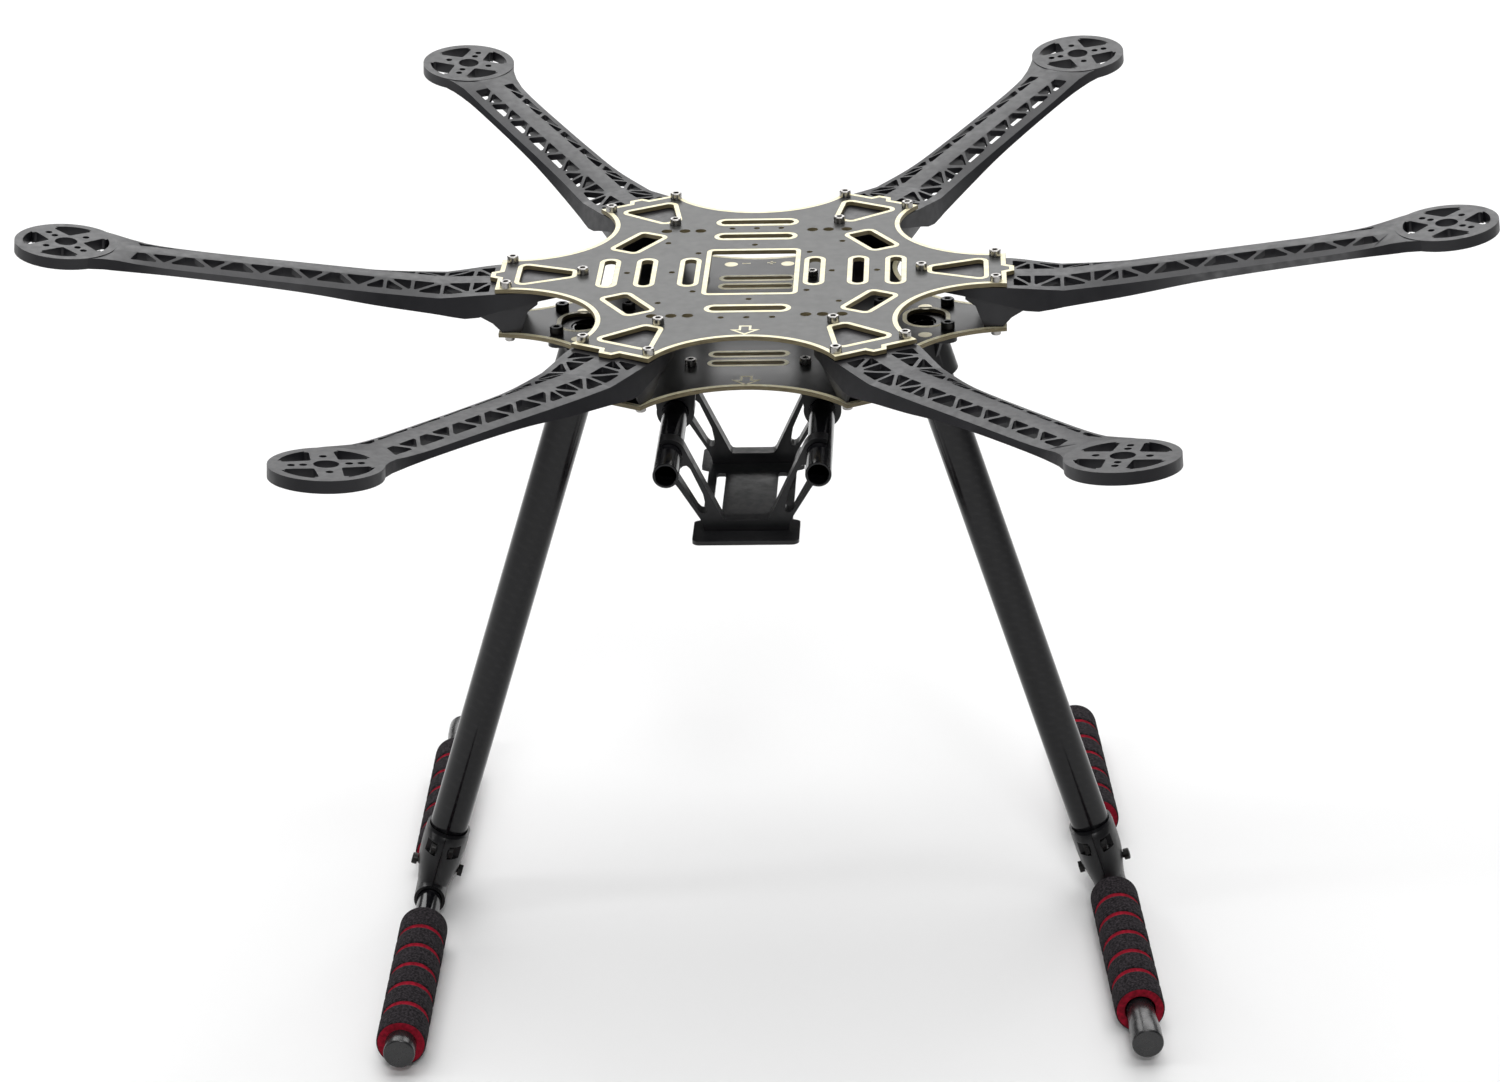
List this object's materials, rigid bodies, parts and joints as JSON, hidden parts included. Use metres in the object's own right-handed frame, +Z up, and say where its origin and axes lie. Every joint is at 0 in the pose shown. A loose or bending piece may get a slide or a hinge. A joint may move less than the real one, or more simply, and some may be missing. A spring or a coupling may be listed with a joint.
{
  "type": "hexacopter frame",
  "caption": "Bare multirotor frame: slim truss arms around two stacked plates, leaning legs on foam-sleeved skids, and a sliding tray under the body.",
  "frame": {"origin": "on the floor under the centre of the frame", "axes": "+Z up, -Y towards the front where the arrow on the plates points, +X to the right"},
  "size_m": [0.5918, 0.518, 0.3025],
  "materials": {
    "plate_laminate": "satin grey woven laminate with cream borders",
    "bottom_laminate": "gloss black laminate with gold borders",
    "arm_nylon": "satin black glass-filled nylon",
    "fitting_plastic": "matte black moulded plastic",
    "carbon_tube": "gloss black carbon fibre tube",
    "foam_sleeve": "rough black closed-cell foam with red grooves and ends",
    "cap_rubber": "satin black rubber",
    "screw_steel": "plain steel"
  },
  "bodies": {
    "frame": {"top_plate": "plate_laminate", "bottom_plate": "bottom_laminate", "arm_right": "arm_nylon", "arm_rear_right": "arm_nylon", "arm_rear_left": "arm_nylon", "arm_left": "arm_nylon", "arm_front_left": "arm_nylon", "arm_front_right": "arm_nylon", "arm_screw_right_a": "screw_steel", "arm_screw_right_b": "screw_steel", "arm_screw_right_inner": "screw_steel", "arm_screw_rear_right_a": "screw_steel", "arm_screw_rear_right_b": "screw_steel", "arm_screw_rear_right_inner": "screw_steel", "arm_screw_rear_left_a": "screw_steel", "arm_screw_rear_left_b": "screw_steel", "arm_screw_rear_left_inner": "screw_steel", "arm_screw_left_a": "screw_steel", "arm_screw_left_b": "screw_steel", "arm_screw_left_inner": "screw_steel", "arm_screw_front_left_a": "screw_steel", "arm_screw_front_left_b": "screw_steel", "arm_screw_front_left_inner": "screw_steel", "arm_screw_front_right_a": "screw_steel", "arm_screw_front_right_b": "screw_steel", "arm_screw_front_right_inner": "screw_steel", "leg_seat_left": "fitting_plastic", "leg_tube_left": "carbon_tube", "tee_inner_left": "fitting_plastic", "tee_outer_left": "fitting_plastic", "tee_bolt_front_left": "screw_steel", "tee_bolt_rear_left": "screw_steel", "tee_bolt_lower_left": "screw_steel", "skid_tube_left": "carbon_tube", "foam_front_left": "foam_sleeve", "end_cap_front_left": "cap_rubber", "rail_clip_front_left": "fitting_plastic", "foam_rear_left": "foam_sleeve", "end_cap_rear_left": "cap_rubber", "rail_clip_rear_left": "fitting_plastic", "rail_left": "carbon_tube", "leg_seat_right": "fitting_plastic", "leg_tube_right": "carbon_tube", "tee_inner_right": "fitting_plastic", "tee_outer_right": "fitting_plastic", "tee_bolt_front_right": "screw_steel", "tee_bolt_rear_right": "screw_steel", "tee_bolt_lower_right": "screw_steel", "skid_tube_right": "carbon_tube", "foam_front_right": "foam_sleeve", "end_cap_front_right": "cap_rubber", "rail_clip_front_right": "fitting_plastic", "foam_rear_right": "foam_sleeve", "end_cap_rear_right": "cap_rubber", "rail_clip_rear_right": "fitting_plastic", "rail_right": "carbon_tube"},
    "tray": {"tray_platform": "fitting_plastic", "tray_hanger_front": "fitting_plastic", "tray_hanger_rear": "fitting_plastic"}
  },
  "joints": [
    {"name": "tray_slide", "type": "slide", "parent": "frame", "child": "tray", "axis": [0, 1, 0], "range_m": [-0.0132, 0.038]}
  ]
}
